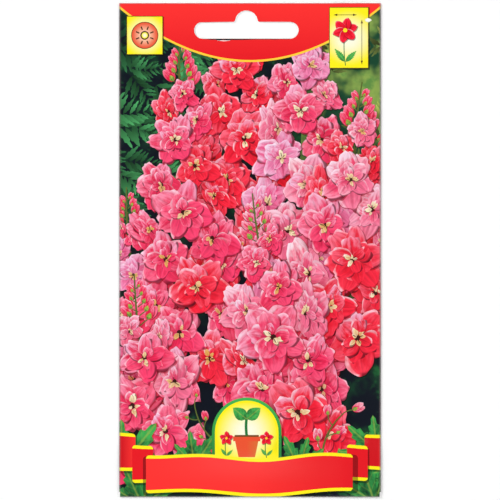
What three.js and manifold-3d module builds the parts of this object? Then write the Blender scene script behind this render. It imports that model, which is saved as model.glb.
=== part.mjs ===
// Paper seed packet, lying on its back, with loose delphinium seeds in its pocket.
// Millimetres, +Z up, +Y towards the header, origin under the middle of the back.
//
// The packet is one sheet of coated paper. The front panel turns round the left edge into the back
// panel. A side flap turns round the right edge, and a bottom flap round the bottom edge, and both lie
// on the outside of the back panel, where they are glued. Above the seal line the front and the back
// are glued flat to make the header, and the hang slot is punched through both. Below it the front
// bulges over the pocket that holds the seeds.

import * as THREE from "three";
import { mergeVertices } from "three/addons/utils/BufferGeometryUtils.js";
import Module from "manifold-3d";

// Driving dimensions
const WIDTH = 80;
const LENGTH = 151;
const PAPER = 0.2; // thickness of the sheet
const GLUE_LINE = 0.08; // gap between two glued layers
const SIDE_FLAP = 10; // how far the side flap reaches in from the right edge
const BOTTOM_FLAP = 12; // how far the bottom flap reaches up from the bottom edge
const FLAP_TAPER = 0.04; // share of its width that the bottom flap loses towards its free edge
const BACK_CLEARANCE = 0.8; // from the right edge to the free edge of the back panel
const CORNER_NOTCH = 1.5; // height of the notch that parts the flaps at the bottom corners
const HEADER = 25; // from the top edge down to the seal line
const BULGE = 2.8; // height of the pocket in its middle
const POCKET_RISE = 18; // the pocket reaches its full height this far above its bottom
const POCKET_FALL = 55; // and flattens out over this length below the seal line

// Hang slot: a bar with round ends, and a crown over its middle that centres the hook
const SLOT_WIDTH = 32;
const SLOT_BAR = 5.2;
const SLOT_CROWN_RADIUS = 3.5; // centred on the bar's upper edge
const SLOT_FLARE = 0.6; // radius that eases the crown into the bar
const SLOT_TO_TOP = 5.7; // from the top edge to the bar
const SLOT_OFFSET = -1.1; // the punch stands a little to the left of the middle
const SLOT_ARC_STEPS = 8; // segments in each round end

// Seeds: small rounded three-sided pyramids
const SEED_COUNT = 32;
const SEED_LENGTH = 2.3;
const SEED_GIRTH = 1.55;
const SEED_SHARPNESS = 7; // how hard its edges are
const SEED_TAPER = 0.28; // how far its sides lean towards the tip
const SEED_TIP_REACH = 2; // the tip reaches at most this many radii of a seed's core
const SEED_SIZES = { smallest: 0.85, spread: 0.25 };
const SEED_SPACING = 2.7; // least distance between the middles of two seeds
const SEED_GAP = 0.1; // a seed lies this far above the paper
const SEED_HEADROOM = 0.2; // least room between a seed and the front of the pocket
const SEED_HEAP = { halfWidth: 24, spread: 9, bottom: -64, reach: 30 };
const RANDOM_SEED = 7;

const GRID = 4; // spacing of the sheet's rows and columns
const BACK_GRID = 10; // spacing of the back panel's columns, left of the side flap
const HEADER_GRID = 8; // spacing of the header's rows
const FOLD_STEPS = 4; // segments round each fold

const LAYER = PAPER + GLUE_LINE;
const HALF_WIDTH = WIDTH / 2;
const TOP = LENGTH / 2;
const BOTTOM = -LENGTH / 2;
const SEAL_LINE = TOP - HEADER;
const SIDE_FLAP_EDGE = HALF_WIDTH - SIDE_FLAP;
const BACK_EDGE = HALF_WIDTH - BACK_CLEARANCE;
const BOTTOM_FLAP_EDGE = BOTTOM + BOTTOM_FLAP;
const FIRST_ROW = BOTTOM + CORNER_NOTCH;
const FRONT_REACH = HALF_WIDTH - GRID; // outermost whole column of the front

// A layer that runs over a flap's free edge comes down within one grid space beside that edge.
const SIDE_STEP_END = Math.floor(SIDE_FLAP_EDGE / GRID) * GRID;
const SIDE_STEP_START = SIDE_STEP_END - GRID;
const BOTTOM_STEP_START = FIRST_ROW + Math.ceil(BOTTOM_FLAP / GRID) * GRID;
const BOTTOM_STEP_END = BOTTOM_STEP_START + GRID;

const PRINTED_PAPER = { color: 0xe8536f, roughness: 0.35, metalness: 0 };
const SEED_COAT = { color: 0x2e2019, roughness: 0.8, metalness: 0 };

const wasm = await Module();
wasm.setup();

// ---- heights of the layers -------------------------------------------------------------------

// 0 before `from`, 1 after `to`, straight between them.
const ramp = (value, from, to) => THREE.MathUtils.clamp((value - from) / (to - from), 0, 1);

// How far a layer is lifted by each flap under it, from 0 to 1.
const liftBySideFlap = (x) => ramp(x, SIDE_STEP_START, SIDE_STEP_END);
const liftByBottomFlap = (y) => 1 - ramp(y, BOTTOM_STEP_START, BOTTOM_STEP_END);

// Height of the pocket, from the back panel's layer to the front panel's.
function pocketHeight(x, y) {
  const across = 1 - (x / HALF_WIDTH) ** 2;
  const fromBottom = THREE.MathUtils.smoothstep(y, FIRST_ROW, FIRST_ROW + POCKET_RISE);
  const fromSeal = 1 - THREE.MathUtils.smoothstep(y, SEAL_LINE - POCKET_FALL, SEAL_LINE);
  return BULGE * Math.max(0, across) * fromBottom * fromSeal;
}

// Heights of the middle of the paper in each panel.
const sideFlapHeight = (y) => PAPER / 2 + LAYER * liftByBottomFlap(y);
const backHeight = (x, y) => PAPER / 2 + LAYER * (liftByBottomFlap(y) + liftBySideFlap(x));
const frontHeight = (x, y) => backHeight(x, y) + LAYER + pocketHeight(x, y);

// ---- the folded sheet --------------------------------------------------------------------------
// Each point of the sheet's lattice is { middle, out }: a point in the middle of the paper, and the
// direction of the printed side.

const point = (x, y, z, outX, outY, outZ) => ({
  middle: new THREE.Vector3(x, y, z),
  out: new THREE.Vector3(outX, outY, outZ),
});

// Points from `from` to `to`, ends included, at most `step` apart.
function spaced(from, to, step) {
  const count = Math.ceil(Math.abs(to - from) / step - 1e-6);
  return Array.from({ length: count + 1 }, (_, i) => from + ((to - from) * i) / count);
}

const turns = Array.from({ length: FOLD_STEPS - 1 }, (_, i) => (Math.PI * (i + 1)) / FOLD_STEPS);
const backColumns = [...spaced(-FRONT_REACH, SIDE_STEP_START, BACK_GRID), SIDE_STEP_END, BACK_EDGE];

// The columns run round the sheet: side flap, right fold, front, left fold, back.
const columns = [
  ...[SIDE_FLAP_EDGE, FRONT_REACH].map((x) => ({ panel: "sideFlap", x })),
  { panel: "rightFold", turn: 0 },
  ...turns.map((turn) => ({ panel: "rightFold", turn })),
  { panel: "front", side: 1 },
  ...spaced(FRONT_REACH, -FRONT_REACH, GRID).map((x) => ({ panel: "front", x })),
  { panel: "front", side: -1 },
  ...turns.map((turn) => ({ panel: "leftFold", turn })),
  { panel: "leftFold", turn: Math.PI },
  ...backColumns.map((x) => ({ panel: "back", x })),
];
const isFront = (column) => column.panel === "front";

// Rows of the panels, and the steps of the bottom fold and its flap.
const rows = [
  ...spaced(FIRST_ROW, BOTTOM_STEP_START, GRID),
  ...spaced(BOTTOM_STEP_END, SEAL_LINE, GRID),
  ...spaced(SEAL_LINE, TOP, HEADER_GRID).slice(1),
];
const bottomSteps = [
  ...turns.map((turn) => ({ turn })),
  { turn: Math.PI },
  ...spaced(FIRST_ROW, BOTTOM_FLAP_EDGE, GRID).map((y) => ({ y })),
].reverse();

// The fold round an upright edge: a half circle between the heights of the two panels that it joins.
function sideFold(side, turn, y) {
  const upper = frontHeight(side * HALF_WIDTH, y);
  const lower = side > 0 ? sideFlapHeight(y) : backHeight(-HALF_WIDTH, y);
  const radius = (upper - lower) / 2;
  const angle = side > 0 ? turn - Math.PI / 2 : turn + Math.PI / 2;
  const centre = side * (HALF_WIDTH - PAPER / 2 - radius);
  const out = new THREE.Vector3(Math.cos(angle), 0, Math.sin(angle));
  const z = (upper + lower) / 2 + radius * out.z;
  return point(centre + radius * out.x, y, z, out.x, 0, out.z);
}

function panelPoint(column, y) {
  if (column.panel === "sideFlap") return point(column.x, y, sideFlapHeight(y), 0, 0, -1);
  if (column.panel === "rightFold") return sideFold(1, column.turn, y);
  if (column.panel === "leftFold") return sideFold(-1, column.turn, y);
  if (column.panel === "back") return point(column.x, y, backHeight(column.x, y), 0, 0, -1);
  if (column.side) return sideFold(column.side, column.side > 0 ? Math.PI : 0, y);
  return point(column.x, y, frontHeight(column.x, y), 0, 0, 1);
}

// The fold round the bottom edge and the flap behind it carry on from the front's columns.
function bottomPoint(column, step) {
  const first = panelPoint(column, FIRST_ROW).middle;
  const radius = (first.z - PAPER / 2) / 2;
  if (step.y !== undefined) {
    const narrowed = 1 - FLAP_TAPER * ramp(step.y, FIRST_ROW, BOTTOM_FLAP_EDGE);
    return point(first.x * narrowed, step.y, PAPER / 2, 0, 0, -1);
  }
  const out = new THREE.Vector3(0, -Math.sin(step.turn), Math.cos(step.turn));
  const centre = BOTTOM + PAPER / 2 + radius;
  return point(first.x, centre + radius * out.y, PAPER / 2 + radius + radius * out.z, 0, out.y, out.z);
}

// The lattice: bottom flap's free edge first, then the fold, then the panels up to the header.
const latticeRows = [
  ...bottomSteps.map((step) => (column) => isFront(column) && bottomPoint(column, step)),
  (column) => isFront(column) && bottomPoint(column, { turn: 0 }),
  ...rows.map((y) => (column) => panelPoint(column, y)),
];

// Gives a lattice of points its thickness: a printed face, an inner face and the cut edges between.
function thicken(lattice) {
  const positions = [];
  const triangles = [];
  const indexOf = lattice.map((line) =>
    line.map((node) => {
      if (!node) return -1;
      for (const side of [1, -1]) {
        const corner = node.middle.clone().addScaledVector(node.out, (side * PAPER) / 2);
        positions.push(corner.x, corner.y, corner.z);
      }
      return positions.length / 3 - 2;
    }),
  );
  const quad = (a, b, c, d) => triangles.push(a, b, c, a, c, d);
  const hasNode = (r, c) => indexOf[r]?.[c] >= 0;
  const hasPair = (r, c) => hasNode(r, c) && hasNode(r, c + 1);
  const hasCell = (r, c) => hasPair(r, c) && hasPair(r + 1, c);
  const edges = [
    { dr: 0, dc: -1, from: [0, 0], to: [1, 0] },
    { dr: 1, dc: 0, from: [1, 0], to: [1, 1] },
    { dr: 0, dc: 1, from: [1, 1], to: [0, 1] },
    { dr: -1, dc: 0, from: [0, 1], to: [0, 0] },
  ];
  for (let r = 0; r < lattice.length - 1; r++) {
    for (let c = 0; c < columns.length - 1; c++) {
      if (!hasCell(r, c)) continue;
      const [a, b] = [indexOf[r][c], indexOf[r][c + 1]];
      const [d, e] = [indexOf[r + 1][c + 1], indexOf[r + 1][c]];
      quad(a, e, d, b);
      triangles.push(a + 1, d + 1, e + 1, a + 1, b + 1, d + 1);
      for (const { dr, dc, from, to } of edges) {
        if (hasCell(r + dr, c + dc)) continue;
        const p = indexOf[r + from[0]][c + from[1]];
        const q = indexOf[r + to[0]][c + to[1]];
        quad(q, p, p + 1, q + 1);
      }
    }
  }
  const geometry = new THREE.BufferGeometry();
  geometry.setAttribute("position", new THREE.Float32BufferAttribute(positions, 3));
  geometry.setIndex(triangles);
  return geometry;
}

// ---- the hang slot -----------------------------------------------------------------------------

function slotOutline() {
  const quarter = Math.PI / 2;
  const half = SLOT_BAR / 2;
  const end = SLOT_WIDTH / 2 - half;
  const flareAt = Math.sqrt((SLOT_CROWN_RADIUS + SLOT_FLARE) ** 2 - SLOT_FLARE ** 2);
  const touch = Math.atan2(SLOT_FLARE, flareAt);
  const outline = new THREE.Shape();
  outline.absarc(end, 0, half, -quarter, quarter, false);
  outline.absarc(flareAt, half + SLOT_FLARE, SLOT_FLARE, -quarter, touch - 2 * quarter, true);
  outline.absarc(0, half, SLOT_CROWN_RADIUS, touch, 2 * quarter - touch, false);
  outline.absarc(-flareAt, half + SLOT_FLARE, SLOT_FLARE, -touch, -quarter, true);
  outline.absarc(-end, 0, half, quarter, 3 * quarter, false);
  return outline;
}

function slotPunch() {
  const depth = 10 * LAYER;
  const geometry = new THREE.ExtrudeGeometry(slotOutline(), {
    depth,
    bevelEnabled: false,
    curveSegments: SLOT_ARC_STEPS,
  });
  return geometry.translate(SLOT_OFFSET, TOP - SLOT_TO_TOP - SLOT_BAR / 2, -depth / 2);
}

// ---- solids --------------------------------------------------------------------------------------

function solidOf(geometry) {
  const bare = geometry.clone();
  bare.deleteAttribute("normal");
  bare.deleteAttribute("uv");
  const merged = mergeVertices(bare, 1e-4);
  const vertProperties = new Float32Array(merged.attributes.position.array);
  return new wasm.Manifold(
    new wasm.Mesh({ numProp: 3, vertProperties, triVerts: new Uint32Array(merged.index.array) }),
  );
}

function geometryOf(solid) {
  const mesh = solid.getMesh();
  const geometry = new THREE.BufferGeometry();
  geometry.setAttribute("position", new THREE.Float32BufferAttribute(mesh.vertProperties, 3));
  geometry.setIndex(Array.from(mesh.triVerts));
  geometry.computeVertexNormals();
  return geometry;
}

function packetSheet() {
  const lattice = latticeRows.map((pointFor) => columns.map(pointFor));
  const punched = solidOf(thicken(lattice)).subtract(solidOf(slotPunch()));
  const mesh = new THREE.Mesh(geometryOf(punched), new THREE.MeshStandardMaterial(PRINTED_PAPER));
  mesh.name = "packet_sheet";
  return mesh;
}

// ---- the seeds -----------------------------------------------------------------------------------

// A rounded pyramid with three sides and a base, lying on one side along X.
function seedGeometry(length, girth) {
  const sides = [0, 1, 2].map((i) => {
    const angle = (i * 2 * Math.PI) / 3 - Math.PI / 2;
    return new THREE.Vector3(SEED_TAPER, Math.cos(angle), Math.sin(angle)).normalize();
  });
  const faces = [...sides, new THREE.Vector3(-1, 0, 0)];
  const geometry = new THREE.IcosahedronGeometry(1, 1);
  const corners = geometry.attributes.position;
  const direction = new THREE.Vector3();
  for (let i = 0; i < corners.count; i++) {
    direction.fromBufferAttribute(corners, i).normalize();
    const facing = faces.map((face) => Math.max(0, direction.dot(face)) ** SEED_SHARPNESS);
    const sum = facing.reduce((total, share) => total + share, 0);
    direction.multiplyScalar(Math.min(sum ** (-1 / SEED_SHARPNESS), SEED_TIP_REACH));
    corners.setXYZ(i, direction.x, direction.y, direction.z);
  }
  geometry.computeBoundingBox();
  const size = geometry.boundingBox.getSize(new THREE.Vector3());
  geometry.scale(length / size.x, girth / size.y, girth / size.z);
  geometry.computeBoundingBox();
  const centre = geometry.boundingBox.getCenter(new THREE.Vector3());
  return geometry.translate(-centre.x, -centre.y, -geometry.boundingBox.min.z);
}

// Places for the seeds: a loose heap at the bottom of the pocket, where the pocket is high enough and
// no two seeds touch.
function seedPlaces() {
  THREE.MathUtils.seededRandom(RANDOM_SEED);
  const random = () => THREE.MathUtils.seededRandom();
  const places = [];
  while (places.length < SEED_COUNT) {
    const x = (random() + random() + random() - 1.5) * 2 * SEED_HEAP.spread;
    const y = SEED_HEAP.bottom + SEED_HEAP.reach * random() ** 2;
    const size = SEED_SIZES.smallest + SEED_SIZES.spread * random();
    const turn = 2 * Math.PI * random();
    const isClear = places.every((other) => Math.hypot(other.x - x, other.y - y) > SEED_SPACING);
    const isInside = Math.abs(x) < SEED_HEAP.halfWidth;
    const room = pocketHeight(x, y - SEED_LENGTH / 2) - PAPER;
    const hasRoom = room > SEED_GIRTH * size + SEED_HEADROOM;
    if (isClear && isInside && hasRoom) places.push({ x, y, size, turn });
  }
  return places;
}

function seedMeshes() {
  const material = new THREE.MeshStandardMaterial(SEED_COAT);
  return seedPlaces().map(({ x, y, size, turn }, i) => {
    const mesh = new THREE.Mesh(seedGeometry(SEED_LENGTH * size, SEED_GIRTH * size), material);
    mesh.name = `seed_${String(i + 1).padStart(2, "0")}`;
    const floor = backHeight(x, y - SEED_LENGTH / 2) + PAPER / 2;
    mesh.position.set(x, y, floor + SEED_GAP);
    mesh.rotation.z = turn;
    return mesh;
  });
}

const packet = new THREE.Group();
packet.add(packetSheet(), ...seedMeshes());

export default packet;
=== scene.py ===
"""Dresses the seed packet: one printed sheet, folded and glued round a pocket of seeds.

The sheet is laid out flat first, in millimetres, with its front in the middle, the back panel to
its left, the side flap to its right and the bottom flap below. Artwork is a pile of flat shapes on
it. A triangle mesh takes their visible outlines, and a geometry node tree then folds the sheet
into the packet, in metres.
"""
from dataclasses import dataclass
from math import acos, atan2, ceil, cos, floor, pi, sin, sqrt

import bpy
import numpy as np
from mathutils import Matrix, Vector
from mathutils.geometry import delaunay_2d_cdt
from mathutils.kdtree import KDTree


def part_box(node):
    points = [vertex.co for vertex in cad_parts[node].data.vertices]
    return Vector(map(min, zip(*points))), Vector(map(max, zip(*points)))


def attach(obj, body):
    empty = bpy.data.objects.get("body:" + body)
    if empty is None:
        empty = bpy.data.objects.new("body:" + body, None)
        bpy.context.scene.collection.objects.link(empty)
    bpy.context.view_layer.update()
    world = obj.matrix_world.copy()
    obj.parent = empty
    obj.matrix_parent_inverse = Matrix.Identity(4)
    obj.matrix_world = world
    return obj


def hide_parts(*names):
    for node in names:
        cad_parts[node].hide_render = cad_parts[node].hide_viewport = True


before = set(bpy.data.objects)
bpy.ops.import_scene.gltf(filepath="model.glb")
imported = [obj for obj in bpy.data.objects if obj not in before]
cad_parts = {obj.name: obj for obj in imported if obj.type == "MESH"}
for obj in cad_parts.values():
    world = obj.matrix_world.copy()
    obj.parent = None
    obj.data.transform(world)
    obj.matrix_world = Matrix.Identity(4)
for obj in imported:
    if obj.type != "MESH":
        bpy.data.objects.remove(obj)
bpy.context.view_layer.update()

MM = 0.001

# ---- sizes in millimetres, as in the model of the packet ----

PACKET_LOW, PACKET_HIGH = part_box("packet_sheet")
WIDTH, LENGTH = ((PACKET_HIGH[i] - PACKET_LOW[i]) / MM for i in (0, 1))
PAPER = 0.2
GLUE_LINE = 0.08
SIDE_FLAP = 10
BOTTOM_FLAP = 12
FLAP_TAPER = 0.04
BACK_CLEARANCE = 0.8
CORNER_NOTCH = 1.5
HEADER = 25
BULGE = 2.8
POCKET_RISE = 18
POCKET_FALL = 55
STEP_GRID = 4

SLOT_WIDTH = 32
SLOT_BAR = 5.2
SLOT_CROWN_RADIUS = 3.5
SLOT_FLARE = 0.6
SLOT_ARC_POINTS = 10
SLOT_TO_TOP = 5.7
SLOT_OFFSET = -1.1
BACK_SLOT_SHIFT = 0.22  # how much higher the back layer's slot sits than the front one's

LAYER = PAPER + GLUE_LINE
HALF_WIDTH = WIDTH / 2
TOP = LENGTH / 2
BOTTOM = -TOP
SEAL_LINE = TOP - HEADER
SIDE_FLAP_EDGE = HALF_WIDTH - SIDE_FLAP
BACK_EDGE = HALF_WIDTH - BACK_CLEARANCE
FIRST_ROW = BOTTOM + CORNER_NOTCH
SIDE_STEP_END = floor(SIDE_FLAP_EDGE / STEP_GRID) * STEP_GRID
SIDE_STEP_START = SIDE_STEP_END - STEP_GRID
BOTTOM_STEP_START = FIRST_ROW + ceil(BOTTOM_FLAP / STEP_GRID) * STEP_GRID
BOTTOM_STEP_END = BOTTOM_STEP_START + STEP_GRID

# Each fold is a half circle round the layers that it goes over.
LEFT_FOLD = LAYER / 2
RIGHT_FOLD = LAYER
BOTTOM_FOLD = LAYER
LEFT_CREASE = -(HALF_WIDTH - PAPER / 2 - LEFT_FOLD)
RIGHT_CREASE = HALF_WIDTH - PAPER / 2 - RIGHT_FOLD
BOTTOM_CREASE = BOTTOM + PAPER / 2 + BOTTOM_FOLD

# The flat sheet is cut in two pieces along the middle of its folds.
LEFT_CUT = LEFT_CREASE - pi / 2 * LEFT_FOLD
RIGHT_CUT = RIGHT_CREASE + pi / 2 * RIGHT_FOLD
BOTTOM_CUT = BOTTOM_CREASE - pi / 2 * BOTTOM_FOLD
BACK_END = LEFT_CREASE - pi * LEFT_FOLD - (BACK_EDGE - LEFT_CREASE)
SIDE_END = RIGHT_CREASE + pi * RIGHT_FOLD + (RIGHT_CREASE - SIDE_FLAP_EDGE)
BOTTOM_END = BOTTOM_CREASE - pi * BOTTOM_FOLD - (BOTTOM + BOTTOM_FLAP - BOTTOM_CREASE)
BACK_MIDDLE = 2 * LEFT_CREASE - pi * LEFT_FOLD  # what lies behind the front's middle line
FLAP_MIDDLE = 2 * RIGHT_CREASE + pi * RIGHT_FOLD

# Shapes run on past the front's edges, by this much and up to here.
OVERRUN, ROOF = 3, TOP + 1

# ---- printing inks ----


def ink(code):
    """The light that an ink gives back, from its screen colour."""
    parts = [int(code[i : i + 2], 16) / 255 for i in (0, 2, 4)]
    return np.array([c / 12.92 if c <= 0.04045 else ((c + 0.055) / 1.055) ** 2.4 for c in parts])


def inks(*codes):
    return [ink(code) for code in codes]


def blend(a, b, share):
    return a + (b - a) * share


HEADER_RED, HEADER_DEEP, PIPING = inks("ff3230", "e81722", "ffd03c")
YELLOW, CREAM, OUTLINE = inks("fff11a", "fffce4", "4a3018")
SUN_RIM, SUN_HEART = inks("ec5430", "ffd0ae")
# the grey third ink here is painted shade for the packet's folds and cut ends
WHITE, PAPER_WHITE, FOLD_SHADE_GREY = inks("fffdf6", "fffefb", "7c6f70")
FRESH_LEAF = LEAF_BRIGHT, LEAF_MID = inks("43b353", "24773a")
LEAF_DARK, LEAF_YELLOW, CONIFER, SUNLIT = inks("123a26", "a9b84a", "5cc474", "c2cf62")
STEM, SOIL, SKY_PALE, NAVY, WINE = inks("5c6a30", "7a4a22", "9adcff", "080f1c", "5c0216")
CREAM_PETAL, GOLD, SPECK = inks("fff3cf", "e8a243", "3c1410")
RIM_LIGHT, COOL_LIGHT = inks("ffe4f0", "f2c6e6")
GRID_INK, RULE_INK, SOW_INK, BLOOM_INK = inks("8a8f86", "a9b0a4", "c88a3c", "ff5f8c")

# each blossom's inks, from its heart to its petals and their lit margins
SCARLET = inks("f00a26", "ff2a44", "ff6a82")
CORAL = inks("f01448", "ff4674", "ffa2bc")
ROSE = inks("f42a60", "ff7a9e", "ffe2ea")
LILAC = inks("f23c7c", "fa8cba", "f8e0f4")

# ---- node trees ----


def math_node(operation, reflected=False):
    """A method of Value that adds one Math node."""

    def apply(self, *others):
        terms = (*others, self) if reflected else (self, *others)
        return self.nodes.add("ShaderNodeMath", dict(enumerate(terms)), operation=operation)

    return apply


class Value:
    """A node's output that takes part in arithmetic."""

    def __init__(self, nodes, socket):
        self.nodes = nodes
        self.socket = socket

    __add__ = __radd__ = math_node("ADD")
    __mul__ = __rmul__ = math_node("MULTIPLY")
    __sub__ = math_node("SUBTRACT")
    __rsub__ = math_node("SUBTRACT", reflected=True)
    __truediv__ = math_node("DIVIDE")
    __rtruediv__ = math_node("DIVIDE", reflected=True)
    __pow__ = math_node("POWER")
    __abs__ = math_node("ABSOLUTE")
    least = math_node("MINIMUM")
    most = math_node("MAXIMUM")
    above = math_node("GREATER_THAN")
    sin = math_node("SINE")
    cos = math_node("COSINE")
    root = math_node("SQRT")


class Nodes:
    """Adds nodes to one tree, and links them."""

    def __init__(self, tree):
        self.tree = tree

    def add(self, kind, sockets=None, output=0, **settings):
        """One node: its settings, then the values or links of its sockets. Gives an output."""
        node = self.tree.nodes.new(kind)
        for name, setting in settings.items():
            setattr(node, name, setting)
        for key, value in (sockets or {}).items():
            if isinstance(value, Value):
                self.tree.links.new(value.socket, node.inputs[key])
            else:
                node.inputs[key].default_value = value
        return Value(self, node.outputs[output]) if node.outputs else None

    def parts(self, vector):
        node = self.add("ShaderNodeSeparateXYZ", {0: vector}).socket.node
        return [Value(self, part) for part in node.outputs]

    def vector(self, x, y, z):
        return self.add("ShaderNodeCombineXYZ", {0: x, 1: y, 2: z})

    def on_piece(self):
        """The place on the piece, in metres."""
        return self.add("ShaderNodeTexCoord", output="Object")

    def read(self, name, output="Color"):
        """What the sheet's faces carry for their material."""
        return self.add("ShaderNodeAttribute", output=output, attribute_name=name)

    def on_shape(self):
        """The place along and across the printed shape, and a number of the shape's own."""
        return self.parts(self.read("place", "Vector"))

    def ramp(self, value, low, high, smooth=False):
        """0 at low, 1 at high, and no further."""
        kind = "SMOOTHSTEP" if smooth else "LINEAR"
        sockets = {"Value": value, "From Min": low, "From Max": high}
        return self.add("ShaderNodeMapRange", sockets, interpolation_type=kind)

    def noise(self, vector, scale, detail=2.0, roughness=0.5):
        sockets = {"Vector": vector, "Scale": scale, "Detail": detail, "Roughness": roughness}
        return self.add("ShaderNodeTexNoise", sockets)

    def mix(self, share, a, b):
        """A mix of two colours."""
        a, b = (end if isinstance(end, Value) else (*end, 1) for end in (a, b))
        return self.add("ShaderNodeMix", {0: share, 6: a, 7: b}, output=2, data_type="RGBA")

    def brighten(self, colour, by):
        """A colour times a number."""
        return self.add("ShaderNodeVectorMath", {0: colour, "Scale": by}, operation="SCALE")

    def bump(self, height, strength, distance):
        sockets = {"Strength": strength, "Distance": distance, "Height": height}
        return self.add("ShaderNodeBump", sockets)

    def surface(self, colour, roughness, sockets=None):
        sockets = {"Base Color": colour, "Roughness": roughness, **(sockets or {})}
        shader = self.add("ShaderNodeBsdfPrincipled", sockets)
        self.add("ShaderNodeOutputMaterial", {"Surface": shader})


# ---- artwork: a pile of flat shapes ----

SHADOW, HOLE = "shadow", "hole"  # shapes that darken or cut away what lies under them
SHADOW_SHIFT, SHADOW_GROWTH = (0.13, -0.2), 1.04
LIGHT_FROM = 2.1  # direction of the light in the picture
DARKEST_SHADOW = 2  # shadows that lie on each other count up to this
SHADOW_TONE = 0.4


@dataclass
class Shape:
    outline: np.ndarray
    finish: str
    ink: np.ndarray = None
    glow: np.ndarray = None
    place: np.ndarray = None  # turns a point of the sheet into the shape's own coordinates
    light: tuple = None  # the light's share along and across the shape, from 0, against it, to 1
    seed: float = 0
    layer: int = 0


class Artwork:
    """Shapes in printing order. Each hides what lies under it, or darkens it if it is a shadow."""

    def __init__(self, seed):
        self.shapes = []
        self.domes = []  # centre, spread and radius of each blossom, for the soft shade under it
        self.draw = np.random.default_rng(seed)

    def add(self, outline, finish, colour, glow=None, origin=(0, 0), along=(1, 0), across=(0, 1)):
        """A shape of two inks. Its finish mixes them by the place along and across the shape."""
        basis = np.array([along, across], float).T
        turn = np.linalg.inv(basis)
        place = np.column_stack([turn, -turn @ np.array(origin, float)])
        glow = colour if glow is None else glow
        light = (np.linalg.solve(basis, turned(np.linalg.norm(along), 0, LIGHT_FROM)) + 1) / 2
        own = place, tuple(light), self.chance(0, 50), len(self.domes) - 1
        self.shapes.append(Shape(np.array(outline, float), finish, colour, glow, *own))

    def flat(self, outline, colour):
        self.add(outline, "flat", colour)

    def line(self, path, width, colour):
        self.flat(stroke(path, width), colour)

    def glowing(self, outline, rim, heart, centre, reach):
        """A shape whose colour changes from its centre outwards."""
        self.add(outline, "round", rim, heart, centre, (reach, 0), (0, reach))

    def shadow(self, outline, shift=SHADOW_SHIFT):
        middle = outline.mean(axis=0)
        self.add(middle + (outline - middle) * SHADOW_GROWTH + np.array(shift), SHADOW, WHITE)

    def chance(self, low=0.0, high=1.0):
        return float(self.draw.uniform(low, high))


def turned(x, y, angle):
    c, s = cos(angle), sin(angle)
    return np.array([x * c - y * s, x * s + y * c])


def disc(centre, radius, points=32):
    angle = np.linspace(0, 2 * pi, points, endpoint=False)
    return np.array(centre) + radius * np.column_stack([np.cos(angle), np.sin(angle)])


def box(left, bottom, right, top):
    return np.array([(left, bottom), (right, bottom), (right, top), (left, top)], float)


def stroke(path, width):
    """The outline of a line drawn along a path. Width is a number, or one for each point."""
    path = np.array(path, float)
    run = np.gradient(path, axis=0)
    run /= np.linalg.norm(run, axis=1, keepdims=True)
    half = np.broadcast_to(width, len(path)) / 2
    side = np.column_stack([-run[:, 1], run[:, 0]]) * half[:, None]
    return np.vstack([path + side, (path - side)[::-1]])


def bow(start, end, rise, points=9):
    """A path from start to end that bows to its left by rise."""
    start, end = np.array(start, float), np.array(end, float)
    t = np.linspace(0, 1, points)[:, None]
    side = np.array([start[1] - end[1], end[0] - start[0]])
    side = side / np.linalg.norm(side)
    return start + (end - start) * t + side * rise * 4 * t * (1 - t)


# ---- petals, blossoms and leaves ----

PETAL_BASE, PETAL_TIP = 0.5, 0.64  # how a petal widens from its base and narrows to its tip
PETAL_WIDEST = PETAL_BASE / (PETAL_BASE + PETAL_TIP)
PETAL_FULL = 1 / (PETAL_WIDEST**PETAL_BASE * (1 - PETAL_WIDEST) ** PETAL_TIP)
UPRIGHT = np.eye(2)  # the view of a blossom that faces the viewer

# Each ring of a blossom's petals: how many, how far they reach and how wide they are, as shares of
# the blossom's size, how ruffled they are, and the corners of their outlines.
RINGS = [(5, 0.53, 0.47, 0.08, 20), (5, 0.38, 0.34, 0.11, 15), (3, 0.24, 0.21, 0.16, 9)]


def petal_half_width(u):
    """Half the width of a petal, a share u of the way to its tip. Its greatest is 1."""
    return u**PETAL_BASE * (1 - u) ** PETAL_TIP * PETAL_FULL


def softened(outline):
    """A closed outline with a point more on each side, so that it curves through its corners."""
    before, after, beyond = (np.roll(outline, shift, axis=0) for shift in (1, -1, -2))
    middles = (9 * (outline + after) - before - beyond) / 16
    return np.stack([outline, middles], axis=1).reshape(-1, 2)


def add_petal(art, base, angle, length, width, view, tones, ruffle, points, shadow=False):
    """A petal from its base outwards. View is the 2 by 2 matrix that foreshortens its blossom."""
    theta = np.linspace(0, 2 * pi, points, endpoint=False)
    u = (1 - np.cos(theta)) / 2
    wave = art.draw.uniform(-1, 1, points) * ruffle * u
    bend = art.chance(-0.15, 0.15) * np.sin(pi * u)
    v = np.where(theta > pi, -1, 1) * petal_half_width(u) * (1 + 2 * wave) + bend
    u = u + wave
    along = view @ turned(length, 0, angle)
    across = view @ turned(0, width / 2, angle)
    outline = softened(np.array(base) + np.outer(u, along) + np.outer(v, across))
    if shadow:
        art.shadow(outline)
    art.add(outline, "petal", *tones, base, along, across)


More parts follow.
